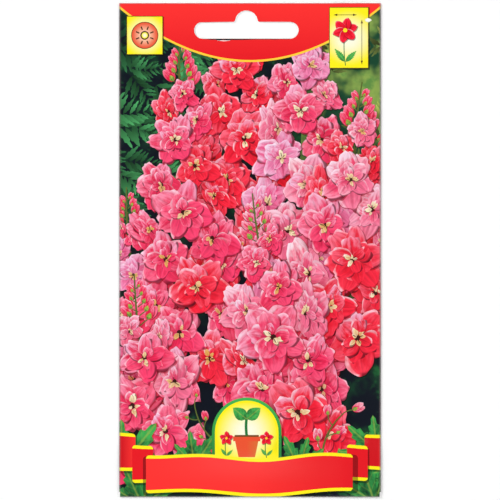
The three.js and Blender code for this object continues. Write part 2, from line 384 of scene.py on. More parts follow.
def add_blossom(art, centre, size, away, tilt, tones):
    """A blossom, `size` across. It is turned away from the viewer by `tilt`, towards `away`."""
    axis = turned(1, 0, away)
    view = UPRIGHT + (cos(tilt) - 1) * np.outer(axis, axis)
    centre = np.array(centre, float)
    art.domes.append((centre, np.linalg.inv(view), size / 2))
    deep, body, margin = tones
    start = art.chance(0, 2 * pi)
    lift = -turned(0.035 * size * sin(tilt), 0, away)
    for ring, (count, reach, width, ruffle, points) in enumerate(RINGS):
        count += int(art.chance() < 0.4)
        for i in art.draw.permutation(count):
            angle = start + 2 * pi * (i + 0.4 * ring + art.chance(-0.2, 0.2)) / count
            length = size * reach * art.chance(0.84, 1.12)
            breadth = size * width * art.chance(0.85, 1.15)
            lit = 0.5 + 0.5 * cos(angle - LIGHT_FROM) + art.chance(-0.35, 0.3)
            lit = min(1, max(0, lit))
            sheen = blend(margin, COOL_LIGHT, lit * art.chance(0, 0.8))
            pale = blend(body, sheen, lit * art.chance(0.6, 1))
            heart = blend(deep, body, art.chance(0.2, 0.9)) * art.chance(0.88, 1)
            root = centre + lift * ring + view @ turned(size * 0.03, 0, angle)
            shape = length, breadth, view, (pale, heart), ruffle, points
            add_petal(art, root, angle, *shape, shadow=ring == 0)
    add_heart(art, centre + lift * 3, size, view, art.chance() ** 0.6)


def add_heart(art, centre, size, view, pale):
    """The eye of a blossom: ragged cream scales round dark specks."""
    art.flat(centre + (view @ disc((0, 0), 0.05 * size, 8).T).T, SPECK)
    tint = blend(GOLD, CREAM_PETAL, pale)
    for _ in range(6):
        angle = art.chance(0, 2 * pi)
        root = centre + view @ turned(size * art.chance(0.0, 0.06), 0, angle)
        length = size * art.chance(0.06, 0.14)
        tones = (tint, blend(tint, GOLD, art.chance(0.1, 0.7)))
        add_petal(art, root, angle, length, length * 0.7, view, tones, ruffle=0.3, points=5)
    for _ in range(3):
        angle = art.chance(0, 2 * pi)
        far = art.chance(0.07, 0.12)
        ends = [centre + view @ turned(size * r, 0, angle + r) for r in (0.03, far)]
        art.line(ends, 0.012 * size, SPECK)


def add_bud(art, base, angle, length, tones):
    """A closed bud: two petals folded over each other, in a green cup."""
    deep, body, margin = tones
    for side in (-0.16, 0.16):
        pale = blend(body, margin, art.chance(0.2, 0.7))
        reach = length * art.chance(0.9, 1)
        shape = reach, length * 0.55, UPRIGHT, (pale, deep)
        add_petal(art, base, angle + side, *shape, ruffle=0.04, points=7)
    add_leaf(art, base, angle, length * 0.42, length * 0.3, (LEAF_YELLOW, LEAF_MID))


def add_leaf(
    art, base, angle, length, width, tones=FRESH_LEAF, teeth=0, finish="leaf", shadow=False
):
    """A pointed leaf, with a toothed edge if it has teeth."""
    points = 2 * teeth + 3 if teeth else 7
    u = np.linspace(0, 1, points)
    half = np.sin(pi * u**0.8) ** 0.9
    if teeth:
        half[2::2] *= 0.68
        u = u + np.where(np.arange(points) % 2 == 1, 0.06, 0.0)
        u[-1] = 1.05
    v = np.concatenate([half, -half[-2:0:-1]])
    u = np.concatenate([u, u[-2:0:-1]])
    along = turned(length, 0, angle)
    across = turned(0, width / 2, angle)
    outline = np.array(base) + np.outer(u, along) + np.outer(v, across)
    if shadow:
        art.shadow(outline)
    art.add(outline, finish, *tones, base, along, across)


def add_lobed_leaf(art, base, angle, reach, tones):
    """A palmate leaf: five toothed lobes that fan out from one point."""
    for spread in (-1.3, 1.3, -0.7, 0.7, 0):
        length = reach * (1 - 0.2 * abs(spread)) * art.chance(0.9, 1.08)
        add_leaf(art, base, angle + spread, length, length * 0.46, tones, teeth=4, shadow=True)


def add_spray(art, base, angle, length, tones, pairs):
    """A flat spray of a conifer: jagged fingers on both sides of a bowed stem."""
    bright, dark = tones
    tip = np.array(base) + turned(length, 0, angle)
    path = bow(base, tip, length * art.chance(-0.15, 0.15), pairs + 1)
    for i in range(pairs):
        finger = length * 0.42 * (1.08 - i / pairs)
        for side in (-1, 1):
            lean = angle + side * art.chance(0.55, 0.95)
            tone = art.chance(0.45, 1.2)
            ends = (dark * tone, bright * tone)
            add_leaf(art, path[i], lean, finger, finger * 0.3, ends, teeth=3, finish="flat")
    add_leaf(art, path[-2], angle, length * 0.25, length * 0.1, (dark, bright), 3, "flat")


# ---- the picture: flower spires over dark foliage ----

GOLDEN_ANGLE = pi * (3 - sqrt(5))

# foot and tip of each spire, the size of its lowest blossoms, and their inks, back to front
SPIRES = [
    ((35, -22), (38, 26), 15, (SCARLET,)),
    ((-33, -48), (-37, 8), 15, (CORAL, LILAC)),
    ((-4, -14), (-3, 72), 16, (SCARLET,)),
    ((14, -46), (17, 72), 17, (ROSE, LILAC, ROSE, CORAL)),
    ((-18, -46), (-21, 52), 17, (CORAL, CORAL, CORAL, SCARLET)),
    ((26, -34), (33, 38), 18, (CORAL, SCARLET, ROSE, SCARLET)),
    ((-29, -66), (-34, -20), 17, (CORAL, ROSE, CORAL)),
    ((14, -60), (3, 4), 18, (ROSE, CORAL, SCARLET, CORAL)),
]

# Conifer sprays at the left, and paler, yellower ones at the right: how many, the ranges of their
# places, their lit ink, and the ranges of its share, of their directions and of their lengths, then
# how dark their far ends are, and their pairs of fingers.
SPRAYS = [
    (30, (-46, -14), (12, 68), CONIFER, (0.5, 1.1), (-1.2, 0.3), (11, 17), 0.25, 8),
    (24, (20, 44), (0, 64), SUNLIT, (0.6, 1.1), (0.8, 3.2), (8, 13), 0.3, 6),
]

# place, direction and reach of each leaf at the foot of the picture
LOW_LEAVES = [
    ((-39, -66), 0.9, 15), ((-27, -74), 1.9, 14), ((-17, -66), 1.0, 12), ((-33, -78), 1.3, 15),
    ((15, -67), 2.0, 12), ((31, -72), 1.2, 14), ((39, -62), 2.4, 13), ((3, -78), 1.5, 13),
    ((38, -77), 1.9, 14),
]


def add_spire(art, foot, tip, size, palette):
    """Blossoms set round a spire by the golden angle, small at the tip, with buds above them."""
    foot, tip = np.array(foot, float), np.array(tip, float)
    lean = atan2(*(tip - foot)[::-1])
    add_spire_tip(art, tip, lean, size, palette[0])
    count = round(np.linalg.norm(tip - foot) / (size * 0.165))
    turn = art.chance(0, 2 * pi)
    places = []
    for i in range(count):
        share = (i + 0.5) / count
        depth = cos(turn + i * GOLDEN_ANGLE)
        if depth > -0.3:
            out = sin(turn + i * GOLDEN_ANGLE) * size * (0.2 + 0.5 * min(1, share * 2.2))
            centre = tip + (foot - tip) * share + turned(0, -out, lean)
            places.append((depth, centre, size * (0.55 + 0.45 * min(1, share * 2.4)), out))
    for depth, centre, across, out in sorted(places, key=lambda place: place[0]):
        away = lean - pi / 2 if out > 0 else lean + pi / 2
        tilt = 0.15 + 0.85 * acos(max(0, depth)) / (pi / 2)
        tones = palette[art.draw.integers(len(palette))]
        across *= art.chance(0.9, 1.12)
        add_blossom(art, centre, across, away + art.chance(-0.6, 0.6), tilt, tones)


def add_spire_tip(art, tip, lean, size, tones):
    """A stem with small stalked buds, above the topmost blossoms."""
    reach = size * 0.75
    stem = bow(tip - turned(size, 0, lean), tip + turned(reach, 0, lean), 0.6)
    art.line(stem, np.linspace(0.9, 0.4, 9), STEM)
    for i in range(9):
        share = i / 9
        side = 1 if i % 2 else -1
        root = tip + turned(reach * (share - 0.25), 0, lean)
        bud = root + turned(size * 0.15 * (1.2 - share), 0, lean + side * 1.0)
        art.line(bow(root, bud, 0.1, 4), 0.35, STEM)
        add_bud(art, bud, lean + side * 0.55, size * (0.32 - 0.18 * share), tones)


def add_picture(art):
    left, right = -HALF_WIDTH - OVERRUN, HALF_WIDTH + OVERRUN
    art.add(box(left, BOTTOM - OVERRUN, right, ROOF), "distance", LEAF_DARK, NAVY)
    sunny_side = [(12, -30), (right, -14), (right, ROOF), (18, ROOF)]
    art.add(sunny_side, "distance", blend(LEAF_MID, SUNLIT, 0.45), LEAF_DARK * 1.4)
    add_distant_foliage(art)
    for spire in SPIRES:
        add_spire(art, *spire)
    add_bud_sprig(art, (-8, -60), 2.2, 15, CORAL)
    add_bud_sprig(art, (22, -66), 1.2, 17, ROSE)
    for place, angle, reach in LOW_LEAVES:
        bright = blend(LEAF_MID, LEAF_BRIGHT, art.chance(0.3, 1))
        add_lobed_leaf(art, place, angle, reach, (bright, LEAF_DARK))


def add_distant_foliage(art):
    """Sprays of distant leaves, the dark ones first."""
    for count, wide, high, lit, shine, leans, lengths, dark, pairs in SPRAYS:
        for depth in np.linspace(0.1, 1, count):
            place = (art.chance(*wide), art.chance(*high))
            bright = blend(LEAF_DARK, lit, depth * art.chance(*shine))
            lean, length = art.chance(*leans), art.chance(*lengths)
            add_spray(art, place, lean, length, (bright, bright * dark), pairs)


def add_bud_sprig(art, foot, angle, reach, tones):
    """A thin branching stem with stalked buds, in front of the blossoms."""
    path = bow(foot, np.array(foot) + turned(reach, 0, angle), reach * 0.12)
    art.shadow(stroke(path, 0.5))
    art.line(path, np.linspace(0.6, 0.35, 9), STEM)
    for i in (2, 4, 6, 8):
        side = 1 if i % 4 else -1
        bud = path[i] + turned(reach * 0.2, 0, angle + side * 0.8)
        art.line(bow(path[i], bud, 0.3, 5), 0.32, STEM)
        add_bud(art, bud, angle + side * art.chance(0.2, 0.9), reach * art.chance(0.2, 0.27), tones)


# ---- the printed frame round the picture ----

HEADER_SAG = 16.5  # how far the header's lower edge sags below its ends
HEADER_ENDS = TOP - 1.2
HEADER_POINTS = 49
PIPING_WIDTH = 0.65
HEADER_SHADING = 18  # the header's red changes over this height
BORDER = 0.18  # the dark line round a sign
SUN_SIGN = -37.6, 59.9, -26.8, 71.4  # left, bottom, right, top
SIZE_SIGN = 24.4, 55.7, 36.1, 74.1
LOW_SHADOW = (0.35, -0.5)  # how far the shadow of a thick layer falls
RIBBON_TOP, RIBBON_DEPTH = -63.7, 9.8
RIBBON_ENDS = (-31.8, 31.4)
RIBBON_FOLDS = (29.6, 36)  # the folded stretch at each side, behind the ends
TAIL_START = 35
HEM = 1.0
RIBBON_POINTS = 33
LABEL_MIDDLE, LABEL_SHOULDER = -1.0, -55.6  # its round top starts at the shoulder
ARCH_STEPS = 28


def header_edge(x):
    return HEADER_ENDS - HEADER_SAG * (1 - (x / HALF_WIDTH) ** 2)


def add_header(art, middle=0.0, reach=HALF_WIDTH + 2):
    """The red header. Its lower edge is a shallow bow with a line of piping."""
    x = np.linspace(-reach, reach, HEADER_POINTS)
    edge = np.column_stack([x + middle, header_edge(x)])
    outline = np.vstack([edge, [(middle + reach, ROOF), (middle - reach, ROOF)]])
    shading = (middle, TOP - HEADER_SHADING), (0, HEADER_SHADING), (HALF_WIDTH, 0)
    art.add(outline, "flat", HEADER_DEEP, HEADER_RED, *shading)
    art.line(edge, PIPING_WIDTH, PIPING)


def add_sign_panel(art, left, bottom, right, top, glow):
    """A small yellow panel with a thin dark border. It glows in its middle."""
    art.shadow(box(left, bottom, right, top), (0.3, -0.3))
    art.flat(box(left - BORDER, bottom - BORDER, right + BORDER, top + BORDER), OUTLINE)
    centre = np.array([(left + right) / 2, (bottom + top) / 2])
    art.glowing(box(left, bottom, right, top), YELLOW, CREAM, centre, glow)
    return centre


def add_sun_sign(art):
    """The sign for a sunny place: a disc with short rays."""
    centre = add_sign_panel(art, *SUN_SIGN, glow=7)
    art.flat(disc(centre, 4.15, 40), OUTLINE)
    art.glowing(disc(centre, 3.95, 40), SUN_RIM, SUN_HEART, centre, 4.2)
    for turn in (np.arange(8) + 0.5) * pi / 4:
        art.line([centre + turned(r, 0, turn) for r in (1.8, 2.9)], 0.4, OUTLINE)
    art.flat(disc(centre, 1.35, 24), OUTLINE)
    art.glowing(disc(centre, 0.95, 24), YELLOW, CREAM, centre, 1)


def add_arrow(art, start, end):
    """A thin dimension line with a head at each end."""
    start, end = np.array(start, float), np.array(end, float)
    run = (end - start) / np.linalg.norm(end - start)
    side = np.array([-run[1], run[0]])
    art.line([start, end], 0.17, OUTLINE)
    for tip, way in ((start, 1), (end, -1)):
        barb = tip + way * run * 1.1
        art.flat([tip, barb + side * 0.36, barb - side * 0.36], OUTLINE)


def add_small_flower(art, foot, height, petals=5):
    """A drawn flower on its stem, with two toothed leaves."""
    x, y = foot
    head = (x - 0.1, y + height)
    art.line(bow(foot, head, 0.4), 0.26, LEAF_MID)
    for angle, share in ((2.25, 0.46), (0.8, 0.42)):
        length = height * share
        add_leaf(art, (x, y + height * 0.1), angle, length, length * 0.42, teeth=7)
    for i in range(petals):
        shape = height * 0.36, height * 0.26, UPRIGHT, SCARLET[1::-1]
        turn = 0.3 + i * 2 * pi / petals
        add_petal(art, head, turn, *shape, ruffle=0.03, points=14, shadow=True)
    art.glowing(disc(head, height * 0.06, 12), YELLOW, PIPING, head, 0.6)


def add_size_sign(art):
    """The sign for the plant's size: a flower beside two dimension lines."""
    add_sign_panel(art, *SIZE_SIGN, glow=9)
    add_small_flower(art, (29.2, 56.4), 10.8, petals=6)
    add_arrow(art, (25.6, 71.9), (32.6, 71.9))
    add_arrow(art, (34.2, 56.8), (34.2, 70.4))


def ribbon_line(x, drop=0.0):
    """The ribbon's upper edge: it sags in the middle and lifts again at both sides."""
    return RIBBON_TOP - drop + 0.55 * np.cos(x / 17 * pi + 2.4) - 0.5 * np.cos(x / 31 * pi)


def add_ribbon_band(art, left, right, drop, depth, tones):
    """A length of ribbon with yellow hems, whose corners are rounded off where it curls away."""
    middle, half = (left + right) / 2, (right - left) / 2
    x = middle - half * np.cos(np.linspace(0, pi, RIBBON_POINTS))
    round_off = np.clip((abs(x - middle) - half) / HEM + 1, 0, 1)
    hem = HEM * np.sqrt(1 - round_off**2)
    upper, lower = ribbon_line(x, drop), ribbon_line(x * 0.8, drop) - depth

    def band(hem):
        edges = np.column_stack([x, upper + hem]), np.column_stack([x, lower - hem])[::-1]
        return np.vstack(edges)

    art.shadow(band(hem), LOW_SHADOW)
    art.flat(band(hem), YELLOW)
    centre = (middle, upper[RIBBON_POINTS // 2] - depth / 2)
    art.add(band(0), "flat", *tones, centre, (half, 0), (0, 5))


def add_ribbon(art):
    """A ribbon across the packet. Its ends are folded back twice and run off the sides."""
    for side in (-1, 1):
        tail = sorted((side * TAIL_START, side * (HALF_WIDTH + OVERRUN)))
        add_ribbon_band(art, *tail, -6.4, 9.2, (HEADER_DEEP * 0.8, HEADER_RED))
        folds = sorted(side * x for x in RIBBON_FOLDS)
        add_ribbon_band(art, *folds, -2.9, 9.4, (HEADER_DEEP, HEADER_DEEP))
    add_label(art)
    add_ribbon_band(art, *RIBBON_ENDS, 0, RIBBON_DEPTH, (HEADER_RED, HEADER_DEEP))


def arch(half):
    """An upright panel with a round top. Its foot is behind the ribbon."""
    foot = RIBBON_TOP - RIBBON_DEPTH / 2
    round_top = disc((LABEL_MIDDLE, LABEL_SHOULDER), half, 2 * ARCH_STEPS)[: ARCH_STEPS + 1]
    return np.vstack([round_top, [(LABEL_MIDDLE - half, foot), (LABEL_MIDDLE + half, foot)]])


def add_label(art):
    """An arched label behind the ribbon: a potted seedling between two small flowers."""
    art.shadow(arch(10.6), LOW_SHADOW)
    art.add(arch(10.6), "flat", LEAF_MID, LEAF_BRIGHT, (LABEL_MIDDLE, -66), (0, 20), (1, 0))
    art.flat(arch(9.7), YELLOW)
    art.glowing(arch(9.1), YELLOW, CREAM, (LABEL_MIDDLE, LABEL_SHOULDER), 10)
    for side in (-1, 1):
        add_small_flower(art, (LABEL_MIDDLE + side * 6.1, -63.4), 6)
    add_pot(art, (LABEL_MIDDLE, -63.2), 7.4)
    add_seedling(art, (LABEL_MIDDLE, -56.6), 7.6)


def add_seedling(art, foot, height):
    """A stem with one pair of leaves."""
    x, y = foot
    art.line(bow(foot, (x, y + height * 0.75), 0.2), height * 0.11, LEAF_MID)
    for angle in (2.45, 0.69):
        add_leaf(art, (x, y + height * 0.66), angle, height * 0.72, height * 0.5)


def add_pot(art, foot, width):
    """A clay pot filled with soil."""
    x, y = foot
    rim, foot_half, rim_half = y + width * 0.75, width * 0.34, width / 2
    body = [(x - foot_half, y), (x + foot_half, y), (x + rim_half, rim), (x - rim_half, rim)]
    art.add(body, "flat", SUN_RIM, SOW_INK, foot, (width, 0), (0, 1))
    for reach, low, high, colour in ((0.56, 0.66, 0.86, SUN_RIM), (0.5, 0.84, 0.92, SOIL)):
        band = box(x - width * reach, y + width * low, x + width * reach, y + width * high)
        art.flat(band, colour)


def add_slot_shade_and_scuff(art):
    """A dark line of painted shade along the slot's lower edge, a thin white mark under it, and a
    worn scuff at a corner.
    """
    y = TOP - SLOT_TO_TOP - SLOT_BAR
    places = SLOT_OFFSET + SLOT_WIDTH * np.linspace(-0.42, 0.42, 22)
    shade_widths = np.interp(places, (-14, -9, -2, 5, 13), (0.2, 1.0, 0.6, 0.4, 0.3))
    shade_widths = shade_widths * art.draw.uniform(0.75, 1.25, len(shade_widths))
    art.line([(-10, y - 0.5), (-8, y - 0.62), (-6, y - 0.5)], (0.05, 0.24, 0.05), PAPER_WHITE)
    # painted shade: a dark line under the slot's lower edge, where the two layers part
    art.line([(x, y) for x in places], shade_widths, NAVY)
    for size, tint in ((1, blend(LEAF_YELLOW, PAPER_WHITE, 0.6)), (0.75, PAPER_WHITE)):
        blot = disc((0, 0), size, 14) * art.draw.uniform(0.85, 1.15, (14, 1)) * (1.05, 0.62)
        art.flat(blot + (36.1, 70.3), tint)


# ---- the print on the back ----

BLEED = 1.8  # how far the front's print runs on past the folds
MONTHS = 12
NOTE_LINES, NOTE_SPACING = 6, 4.6
PRINT_WIDTH = 60.8
PRINT_LEFT = BACK_MIDDLE + SIDE_FLAP / 2 - PRINT_WIDTH / 2
FRAME_GAP = 2.6  # between the print and the line round it
FINE_LINE, FRAME_LINE = 0.3, 0.5


def add_frame(art, left, bottom, right, top, colour, width=0.35):
    """A thin line round a rectangle."""
    low, high = bottom - width / 2, top + width / 2
    for y in (bottom, top):
        art.line([(left, y), (right, y)], width, colour)
    for x in (left, right):
        art.line([(x, low), (x, high)], width, colour)


def add_growth_steps(art, left, bottom, size, gap):
    """Three small pictures: sow, let it grow, see it flower."""
    for step in range(3):
        x = left + step * (size + gap)
        middle, top = x + size / 2, bottom + size
        centre = (middle, bottom + size / 2)
        art.glowing(box(x, bottom, x + size, top), SKY_PALE, WHITE, centre, size * 0.8)
        ground = box(x, bottom, x + size, bottom + size * 0.22)
        art.add(ground, "flat", LEAF_MID, LEAF_BRIGHT, (x, bottom), (size, 0), (0, 1))
        add_pot(art, (middle, bottom + size * 0.1), size * 0.4)
        soil = (middle, bottom + size * 0.46)
        if step == 0:
            for i in range(5):
                seed = (middle + (i - 2) * size * 0.06, bottom + size * (0.56 + 0.06 * (i % 2)))
                art.flat(disc(seed, size * 0.022, 8), SPECK)
        elif step == 1:
            add_seedling(art, soil, size * 0.26)
        else:
            add_small_flower(art, soil, size * 0.38)
        add_frame(art, x, bottom, x + size, top, LEAF_MID)


def add_calendar(art, left, bottom, cell, height):
    """A year of boxes: when to sow, when to plant out, and when it flowers."""
    rows = [(BLOOM_INK, 6, 9), (LEAF_BRIGHT, 4, 6), (SOW_INK, 2, 5)]
    right, top = left + MONTHS * cell, bottom + len(rows) * height
    for row, (colour, start, stop) in enumerate(rows):
        y = bottom + row * height
        art.flat(box(left + start * cell, y, left + stop * cell, y + height), colour)
    for i in range(MONTHS + 1):
        art.line([(left + i * cell, bottom), (left + i * cell, top)], FINE_LINE, GRID_INK)
    for row in range(len(rows) + 1):
        y = bottom + row * height
        art.line([(left, y), (right, y)], FINE_LINE, GRID_INK)
    x = left - height * 0.6
    for row, add_sign in enumerate((add_small_flower, add_seedling)):
        add_sign(art, (x, bottom + (row + 0.12) * height), height * 0.7)
    art.flat(disc((x, bottom + 2.5 * height), height * 0.13, 10), SPECK)


def add_spacing(art, left, right, ground):
    """Three seedlings in a row, with the space between them and their depth."""
    soil = box(left, ground - 4, right, ground)
    art.add(soil, "flat", SOIL, SOW_INK, (left, ground), (0, -6), (1, 0))
    places = np.linspace(left + 7, right - 7, 3)
    for x in places:
        add_seedling(art, (x, ground - 0.2), 7)
    for start, end in zip(places, places[1:]):
        add_arrow(art, (start + 0.5, ground + 9), (end - 0.5, ground + 9))
    add_arrow(art, (right - 2.5, ground - 3.6), (right - 2.5, ground - 0.4))


def add_back_print(art):
    """A white back with a red header, a calendar, growing steps and empty lines for notes."""
    left, right = PRINT_LEFT, PRINT_LEFT + PRINT_WIDTH
    art.flat(box(BACK_END - 5, BOTTOM_END - 5, SIDE_END + 5, ROOF), WHITE)
    over_folds = box(LEFT_CUT - BLEED, BOTTOM_END, RIGHT_CUT + BLEED, ROOF)
    art.add(over_folds, "distance", LEAF_DARK, NAVY)
    art.flat(box(LEFT_CREASE - 6, BOTTOM_END - 5, RIGHT_CREASE + 6, BOTTOM_CUT - BLEED), WHITE)
    for middle in (BACK_MIDDLE, FLAP_MIDDLE):
        add_header(art, middle, HALF_WIDTH + OVERRUN)
    add_growth_steps(art, left, 27, 18.5, 2.6)
    add_calendar(art, left + 5, 1.5, 4.65, 6)
    add_spacing(art, left, right, -22)
    for y in -33 - NOTE_SPACING * np.arange(NOTE_LINES):
        art.line([(left, y), (right, y)], FINE_LINE, RULE_INK)
    add_frame(art, left - FRAME_GAP, -60.6, right + FRAME_GAP, 49.6, HEADER_DEEP, FRAME_LINE)


# ---- flat meshes ----

SHEET_GRID = 2  # spacing of the extra points that let the flat sheet bend
TOUCH = (1e-3, 3e-4, 1e-4)  # points closer than this are one point, less in each later pass
FOLD_STEPS = 8  # straight stretches round each fold
OFF_SHEET = -9  # the label of a triangle beside the sheet
SHADE_REACH, SHADE_BLUR, SHADE_DEPTH = 1.35, 0.75, 0.48  # the soft shade round a blossom


def inside(points, outline):
    """Which of the points lie inside a closed outline."""
    x, y = points[:, 0:1], points[:, 1:2]
    x0, y0 = outline.T
    x1, y1 = np.roll(outline, -1, axis=0).T
    rise = np.where(y1 == y0, 1, y1 - y0)
    crosses = (y0 > y) != (y1 > y)
    return (crosses & (x < x0 + (y - y0) * (x1 - x0) / rise)).sum(axis=1) % 2 == 1


def inside_any(points, outlines):
    return np.any([inside(points, outline) for outline in outlines], axis=0)


def pile_at(points, shapes):
    """The uppermost shape at each point, and how many shadows lie on it there."""
    upper = np.full(len(points), -1)
    shadows = np.zeros(len(points), int)
    order = np.argsort(points[:, 0])
    sorted_x = points[order, 0]
    for number, shape in enumerate(shapes):
        low, high = shape.outline.min(axis=0), shape.outline.max(axis=0)
        near = order[np.searchsorted(sorted_x, low[0]) : np.searchsorted(sorted_x, high[0])]
        near = near[(points[near, 1] > low[1]) & (points[near, 1] < high[1])]
        hit = near[inside(points[near], shape.outline)]
        if shape.finish == SHADOW:
            shadows[hit] += 1
        else:
            upper[hit] = number
            shadows[hit] = 0
    return upper, np.minimum(shadows, DARKEST_SHADOW)


def triangles_over(points, edges, touch):
    """Delaunay triangles that keep every edge: their corners, the triangles, their middles."""
    made = delaunay_2d_cdt([Vector(p) for p in points], edges, [], 0, touch, False)
    corners, triangles = np.array([(p.x, p.y) for p in made[0]]), np.array(made[2])
    return corners, triangles, corners[triangles].mean(axis=1)


def joined(lines, first=0, closed=False):
    """The edges along lines whose points follow each other from number `first` on."""
    edges = []
    for line in lines:
        count = len(line)
        last = count if closed else count - 1
        edges += [(first + i, first + (i + 1) % count) for i in range(last)]
        first += count
    return edges


def only_used(points, cells):
    """The points that some edges or triangles use, and these with their points' new numbers."""
    used, place = np.unique(cells, return_inverse=True)
    return points[used], place.reshape(cells.shape)


def sides_of(triangles):
    return np.vstack([triangles[:, [0, 1]], triangles[:, [1, 2]], triangles[:, [2, 0]]])


def visible_edges(corners, triangles, labels):
    """The edges of a triangle mesh between two triangles with different labels."""
    sides = np.sort(sides_of(triangles), axis=1)
    owners = np.tile(np.arange(len(triangles)), 3)
    order = np.lexsort((sides[:, 1], sides[:, 0]))
    sides, owners = sides[order], owners[order]
    first = np.flatnonzero((sides[1:] == sides[:-1]).all(axis=1))
    differ = labels[owners[first]] != labels[owners[first + 1]]
    paired = np.zeros(len(sides), bool)
    paired[first] = paired[first + 1] = True
    return only_used(corners, np.vstack([sides[first[differ]], sides[~paired]]))


def extent(outlines):
    corners = np.vstack(outlines)
    return corners.min(axis=0), corners.max(axis=0)


def sheet_points(borders, spacing):
    """Points all over the sheet, in staggered rows."""
    low, high = extent(borders)
    x, y = (np.arange(low[i] + spacing / 2, high[i], spacing) for i in (0, 1))
    grid = np.column_stack([part.ravel() for part in np.meshgrid(x, y)])
    row = np.round((grid[:, 1] - low[1]) / spacing - 0.5)
    grid[:, 0] += np.where(row % 2 == 0, 0, spacing / 2)
    return grid


def divided(outline):
    """A closed outline with more points on its sides, so that it can bend."""
    parts = []
    for start, end in zip(outline, np.roll(outline, -1, axis=0)):
        count = ceil(np.linalg.norm(end - start) / SHEET_GRID)
        parts.append(start + (end - start) * np.arange(count)[:, None] / count)
    return np.vstack(parts)


def settle(points, borders):
    """Moves points that all but touch a border's side onto it."""
    for border in borders:
        for start, end in zip(border, np.roll(border, -1, axis=0)):
            length = np.linalg.norm(end - start)
            run = (end - start) / length
            along = (points - start) @ run
            foot = start + along[:, None] * run
            away = np.linalg.norm(points - foot, axis=1)
            near = (away < 3 * TOUCH[0]) & (along > 0) & (along < length)
            points[near] = foot[near]


def crease_lines(borders):
    """Lines of points along the folds, where the sheet bends, but for the cut halfway round."""
    low, high = extent(borders)
    columns, rows = (np.arange(low[i] - 1, high[i] + 1 + SHEET_GRID, SHEET_GRID) for i in (0, 1))
    lines = []
    for turn in np.linspace(0, pi, FOLD_STEPS + 1):
        if turn != pi / 2:
            for x in (LEFT_CREASE - LEFT_FOLD * turn, RIGHT_CREASE + RIGHT_FOLD * turn):
                lines.append(np.column_stack([np.full(len(rows), x), rows]))
            y = np.full(len(columns), BOTTOM_CREASE - BOTTOM_FOLD * turn)
            lines.append(np.column_stack([columns, y]))
    return lines


def printed_face(art, borders, holes, creases):
    """The printed face: corners, triangles, and the uppermost shape and the shadows on each."""
    shapes = art.shapes + [Shape(hole, HOLE) for hole in holes]
    outlines = [divided(border) for border in borders] + [shape.outline for shape in shapes]
    edges = joined(outlines, closed=True)
    corners, triangles, middles = triangles_over(np.vstack(outlines), edges, TOUCH[0])
    upper, shadows = pile_at(middles, shapes)
    labels = upper * (DARKEST_SHADOW + 1) + shadows
    labels[~inside_any(middles, borders)] = OFF_SHEET
    points, edges = visible_edges(corners, triangles, labels)
    settle(points, borders)

    edges = edges.tolist() + joined(creases, len(points))
    points = np.vstack([points, *creases, sheet_points(borders, SHEET_GRID)])
    corners, triangles, middles = triangles_over(points, edges, TOUCH[1])
    upper, shadows = pile_at(middles, shapes)
    kept = inside_any(middles, borders) & (upper >= 0) & (upper < len(art.shapes))
    return *only_used(corners, triangles[kept]), upper[kept], shadows[kept]


def bare_face(corners, rim, borders, holes, creases):
    """The bare face of the sheet: corners and triangles between the printed face's open edges."""
    on_rim, edges = only_used(corners, rim)
    edges = edges.tolist() + joined(creases, len(on_rim))
    points = np.vstack([on_rim, *creases, sheet_points(borders, SHEET_GRID * 2)])
    corners, triangles, middles = triangles_over(points, edges, TOUCH[2])
    kept = inside_any(middles, borders) & ~inside_any(middles, holes)
    return only_used(corners, triangles[kept])


def rim_of(triangles):
    """The open edges of a triangle mesh, in the direction of its triangles."""
    sides = sides_of(triangles).tolist()
    known = {tuple(side) for side in sides}
    return np.array([(a, b) for a, b in sides if (b, a) not in known])


def soft_shade(corners, domes):
    """How bright each corner is on each blossom's layer: the blossoms in front of it shade it."""
    shade = np.ones((len(corners), len(domes) + 1))
    for number in range(len(domes) - 1, -1, -1):
        centre, flatten, radius = domes[number]
        away = np.linalg.norm((corners - centre) @ flatten.T, axis=1) / radius
        cover = np.clip((SHADE_REACH - away) / SHADE_BLUR, 0, 1)
        cover = SHADE_DEPTH * cover * cover * (3 - 2 * cover)
        shade[:, number] = shade[:, number + 1] * (1 - cover)
    return shade


def build_sheet(name, art, borders, holes):
    """The flat sheet as a closed mesh in metres."""
    creases = crease_lines(borders)
    corners, triangles, upper, shadows = printed_face(art, borders, holes, creases)
    rim = rim_of(triangles)
    bare, bare_triangles = bare_face(corners, rim, borders, holes, creases)

    # each point of the rim is found again on the bare face by its place
    known = KDTree(len(bare))
    for i, point in enumerate(bare.tolist()):
        known.insert((*point, 0), i)
    known.balance()
    count = len(corners)
    below = {i: count + known.find((*corners[i], 0))[1] for i in set(rim.ravel().tolist())}
    sides = []
    for a, b in rim.tolist():
        sides.append((b, a, below[a]))
        if below[a] != below[b]:
            sides.append((b, below[a], below[b]))

    height = np.repeat((PAPER / 2, -PAPER / 2), (count, len(bare)))
    points = np.column_stack([np.vstack([corners, bare]), height]) * MM
    faces = triangles.tolist() + (bare_triangles[:, ::-1] + count).tolist() + sides
    mesh = bpy.data.meshes.new(name)
    mesh.from_pydata(points.tolist(), [], faces)
    write_print(mesh, art, corners, triangles, upper, shadows)
    mesh.shade_smooth()
    mark_rim(mesh, rim, below)
    mesh.validate()
    return placed(name, mesh)


def placed(name, data):
    """A new object in the scene."""
    made = bpy.data.objects.new(name, data)
    bpy.context.scene.collection.objects.link(made)
    return made


